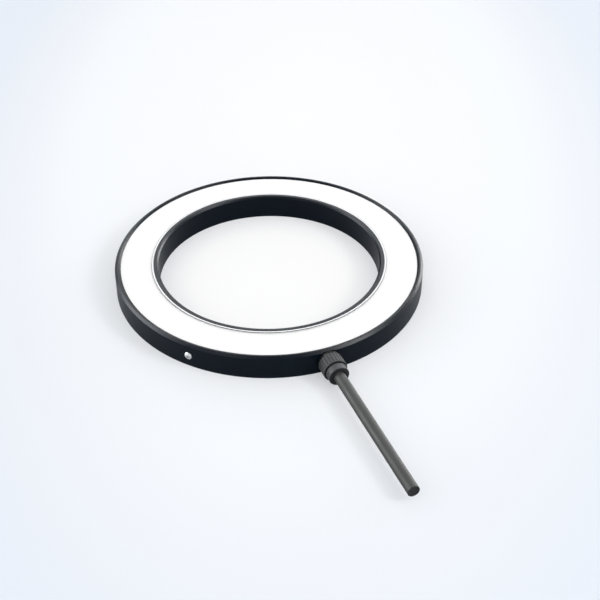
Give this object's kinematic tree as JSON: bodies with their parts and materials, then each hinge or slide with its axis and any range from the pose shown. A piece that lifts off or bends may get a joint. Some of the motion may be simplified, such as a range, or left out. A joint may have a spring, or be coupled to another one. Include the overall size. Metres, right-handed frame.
{
  "type": "low-angle ring light",
  "caption": "Flat ring light: black channel ring round a clear bore, white diffused light face, ribbed cable gland on its rim and a short cut cable.",
  "frame": {"origin": "centre of the ring at its underside", "axes": "+Z out of the white light face along the bore's axis, -Y along the cable away from the ring, +X to the right when looking along +Y"},
  "size_m": [0.12, 0.1894, 0.0098],
  "materials": {
    "black_anodised": "fine bead-blasted, black anodised",
    "bare_aluminium": "as turned",
    "thermal_tape": "filled adhesive film",
    "white_mask": "white solder mask on flexible board",
    "led_package": "moulded white package",
    "phosphor": "phosphor-filled silicone",
    "chip_black": "moulded",
    "clear_acrylic": "clear, polished edge",
    "white_film": "matt white film",
    "opal_acrylic": "opal, satin",
    "white_acetal": "turned, white",
    "stainless_steel": "plain stainless",
    "green_board": "green solder mask",
    "tinned_copper": "tinned",
    "red_insulation": "extruded",
    "black_insulation": "extruded",
    "black_rubber": "moulded",
    "black_nylon": "moulded",
    "grey_nylon": "moulded, fine ribs",
    "cable_sheath": "extruded, satin"
  },
  "bodies": {
    "ring_light": {"housing": "black_anodised", "led_carrier": "bare_aluminium", "thermal_tape": "thermal_tape", "led_strip": "white_mask", "leds": "led_package", "led_phosphors": "phosphor", "strip_resistors": "chip_black", "light_guide": "clear_acrylic", "reflector_sheet": "white_film", "inner_reflector": "white_film", "diffuser": "opal_acrylic", "diffuser_retainer": "white_acetal", "side_screws": "stainless_steel", "insulating_pad": "thermal_tape", "terminal_board": "green_board", "board_resistors": "chip_black", "protection_diode": "chip_black", "strip_links": "tinned_copper", "core_positive": "red_insulation", "core_negative": "black_insulation", "gland_gasket": "black_rubber", "gland_body": "black_nylon", "gland_seal": "black_rubber", "cable_inner": "cable_sheath", "cable_free": "cable_sheath"},
    "slip_ring": {"clamp_ring": "black_nylon"},
    "compression_nut": {"gland_nut": "grey_nylon"}
  },
  "joints": [
    {"name": "clamp_ring_slide", "type": "slide", "parent": "ring_light", "child": "slip_ring", "axis": [0, -1, 0], "range_m": [0, 0.00375]},
    {"name": "gland_nut_turn", "type": "hinge", "parent": "slip_ring", "child": "compression_nut", "pos_m": [0, -0.065, 0.0048], "axis": [0, -1, 0], "range_deg": [0, 1800]}
  ],
  "couplings": [
    {"joint": "gland_nut_turn", "follows": "clamp_ring_slide", "rad_per_m": 8377.5}
  ]
}
